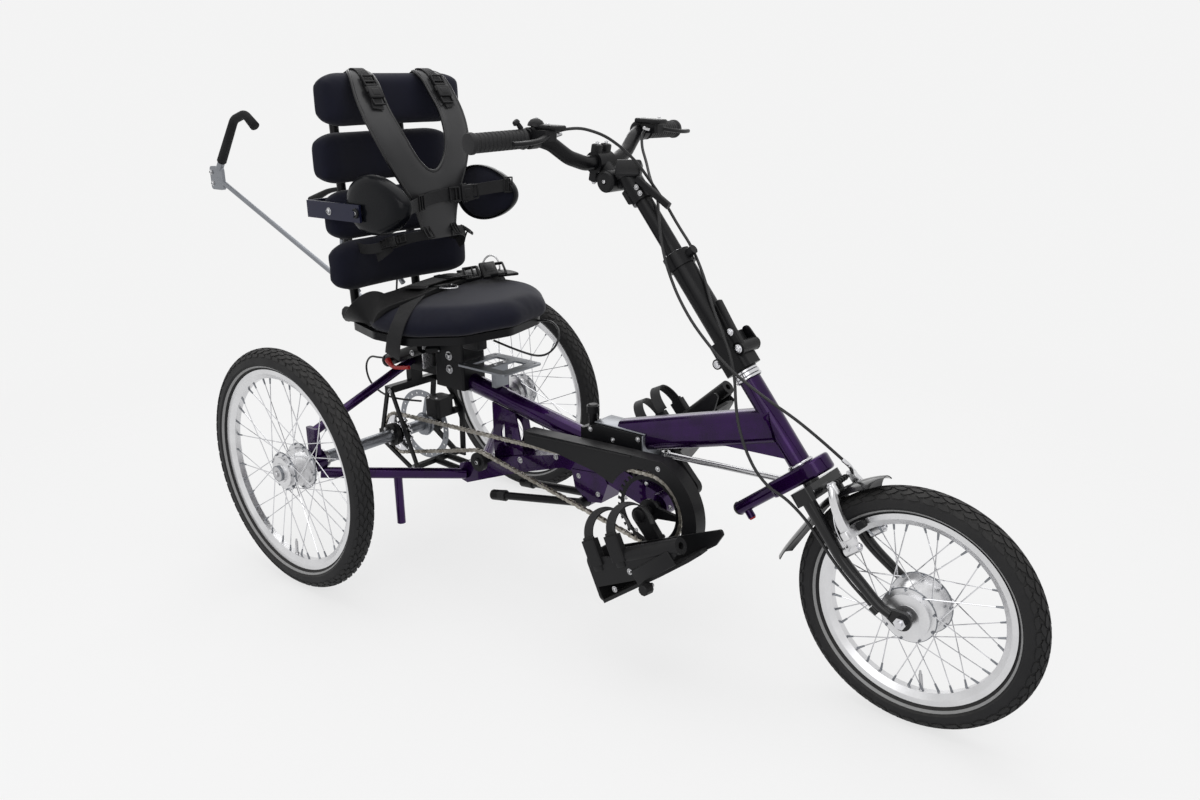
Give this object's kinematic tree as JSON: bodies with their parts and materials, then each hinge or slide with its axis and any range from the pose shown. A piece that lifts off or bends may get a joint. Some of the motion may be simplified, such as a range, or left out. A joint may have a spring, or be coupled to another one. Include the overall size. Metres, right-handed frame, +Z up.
{
  "type": "therapy tricycle",
  "caption": "Adult therapy tricycle with padded seat and backrest, chest harness, shielded chain drive, foot sandals, steered front wheel and rear push handle.",
  "frame": {"origin": "on the floor, halfway along the overall length, on the middle plane", "axes": "+X forwards, +Y to the rider's left, +Z up"},
  "size_m": [2.1124, 0.728, 1.0162],
  "materials": {
    "frame_paint": "deep purple metallic gloss",
    "black_paint": "satin black",
    "grey_steel": "zinc-plated and brushed",
    "chrome": "polished",
    "alloy": "satin anodised",
    "tyre": "matt",
    "moulded": "satin moulded",
    "grip_rubber": "ribbed, matt",
    "foam": "foam",
    "neoprene": "knitted facing over foam",
    "vinyl": "smooth upholstery vinyl",
    "webbing": "woven",
    "pad_shell": "gloss",
    "bracket_blue": "dark blue powder coat",
    "chain_steel": "worn, oiled",
    "cable_sleeve": "smooth sleeve"
  },
  "bodies": {
    "frame": {"front_beam": "frame_paint", "upper_rail": "frame_paint", "lower_beam": "frame_paint", "clamp_box": "black_paint", "seat_support": "black_paint", "rear_stays": "frame_paint", "drive_frame": "black_paint", "disc_caliper": "black_paint", "chain": "chain_steel", "idler": "moulded", "chain_guard": "moulded", "seat_pan": "moulded", "seat_cushion": "neoprene", "lap_belt": "webbing", "back_uprights": "black_paint", "back_rolls": "neoprene", "lateral_pads": "pad_shell", "pad_brackets": "bracket_blue", "harness": "vinyl", "rack_plate": "black_paint", "push_rod": "grey_steel", "push_grip": "foam"},
    "steering": {"fork": "black_paint", "front_axle": "chrome", "steering_plate": "frame_paint", "mudguard": "moulded", "brake_arms": "alloy", "post_hinge": "black_paint", "post_lower": "black_paint", "post_upper": "black_paint", "stem": "black_paint", "handlebar": "black_paint", "grips": "grip_rubber", "brake_levers": "black_paint", "front_brake_cable": "cable_sleeve", "hub_brake_cable": "cable_sleeve"},
    "front_wheel": {"front_tyre": "tyre", "front_rim": "alloy", "front_spokes": "chrome", "front_hub": "alloy"},
    "rear_wheel_right": {"rear_right_tyre": "tyre", "rear_right_rim": "alloy", "rear_right_spokes": "chrome", "rear_right_hub": "alloy", "drive_axle": "grey_steel", "rear_sprocket": "chrome", "disc_rotor": "grey_steel"},
    "rear_wheel_left": {"rear_left_tyre": "tyre", "rear_left_rim": "alloy", "rear_left_spokes": "chrome", "rear_left_hub": "alloy"},
    "crank": {"chainring": "grey_steel", "crankset": "alloy"},
    "pedal_right": {"sandal_right": "moulded", "sandal_straps_right": "webbing"},
    "pedal_left": {"sandal_left": "moulded", "sandal_straps_left": "webbing"},
    "steering_rod": {"steering_rod": "grey_steel"},
    "prop_stand": {"prop_stand": "alloy"}
  },
  "joints": [
    {"name": "steer", "type": "hinge", "parent": "frame", "child": "steering", "pos_m": [0.6438, 0, 0.39172], "axis": [-0.6225, 0, 0.7826], "range_deg": [-30, 30]},
    {"name": "front_wheel_spin", "type": "hinge", "parent": "steering", "child": "front_wheel", "pos_m": [0.85675, 0, 0.1995], "axis": [0, 1, 0], "continuous": true},
    {"name": "rear_right_spin", "type": "hinge", "parent": "frame", "child": "rear_wheel_right", "pos_m": [-0.31025, -0.333, 0.25], "axis": [0, 1, 0], "continuous": true},
    {"name": "rear_left_spin", "type": "hinge", "parent": "frame", "child": "rear_wheel_left", "pos_m": [-0.31025, 0.333, 0.25], "axis": [0, 1, 0], "continuous": true},
    {"name": "crank_spin", "type": "hinge", "parent": "frame", "child": "crank", "pos_m": [0.38275, 0, 0.254], "axis": [0, 1, 0], "continuous": true},
    {"name": "pedal_right_spin", "type": "hinge", "parent": "crank", "child": "pedal_right", "pos_m": [0.4394, -0.142, 0.18929], "axis": [0, 1, 0], "continuous": true},
    {"name": "pedal_left_spin", "type": "hinge", "parent": "crank", "child": "pedal_left", "pos_m": [0.3261, 0.142, 0.31871], "axis": [0, 1, 0], "continuous": true},
    {"name": "steering_rod_swing", "type": "hinge", "parent": "frame", "child": "steering_rod", "pos_m": [0.35375, 0.033, 0.327], "axis": [0, 0, 1], "range_deg": [-7, 7]},
    {"name": "stand_fold", "type": "hinge", "parent": "frame", "child": "prop_stand", "pos_m": [0.19575, 0, 0.207], "axis": [0, -1, 0], "range_deg": [0, 88]}
  ],
  "couplings": [
    {"joint": "pedal_right_spin", "follows": "crank_spin", "ratio": -1},
    {"joint": "pedal_left_spin", "follows": "crank_spin", "ratio": -1},
    {"joint": "steering_rod_swing", "follows": "steer", "ratio": -0.21}
  ]
}
